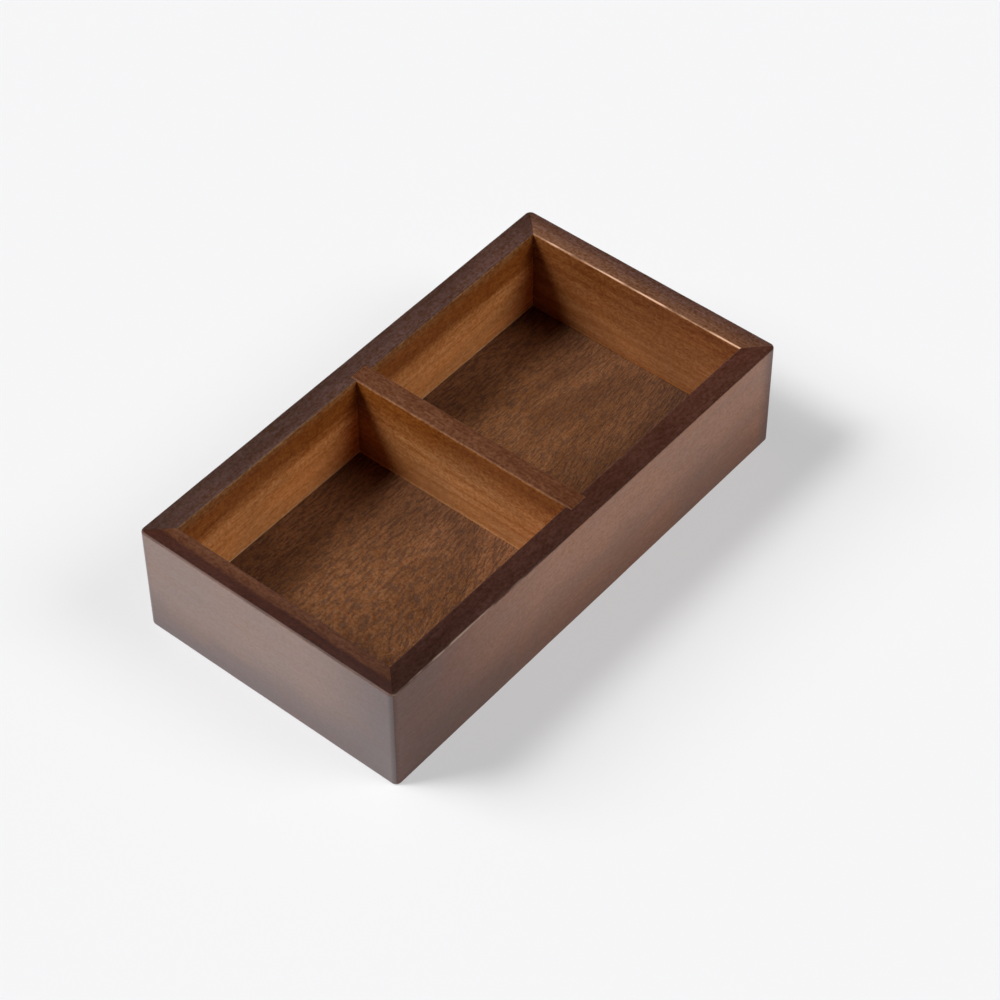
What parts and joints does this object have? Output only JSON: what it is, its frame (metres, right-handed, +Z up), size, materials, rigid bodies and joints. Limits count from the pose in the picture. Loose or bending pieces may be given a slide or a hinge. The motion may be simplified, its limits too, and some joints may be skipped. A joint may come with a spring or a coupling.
{
  "type": "divided snack tray",
  "caption": "Long low rectangular hardwood tray with mitred corners, a cross divider that makes equal open compartments, and a flat wooden bottom.",
  "frame": {"origin": "middle of the foot, on the surface the tray stands on", "axes": "+X along the tray from the left end to the right end, +Y across it from the front side to the back side, +Z up"},
  "size_m": [0.22, 0.12, 0.05],
  "materials": {
    "front_side": "walnut-stained hardwood under satin lacquer",
    "back_side": "walnut-stained hardwood under satin lacquer",
    "left_end": "walnut-stained hardwood under satin lacquer",
    "right_end": "walnut-stained hardwood under satin lacquer",
    "bottom_panel": "open-pored walnut under thin satin lacquer",
    "divider": "lightly stained hardwood under satin lacquer",
    "tongue": "bare planed hardwood"
  },
  "bodies": {
    "root": {"front_side": "front_side", "back_side": "back_side", "left_end": "left_end", "right_end": "right_end", "bottom_panel": "bottom_panel", "divider": "divider", "corner_tongue_front_left": "tongue", "corner_tongue_front_right": "tongue", "corner_tongue_back_right": "tongue", "corner_tongue_back_left": "tongue"}
  },
  "joints": []
}
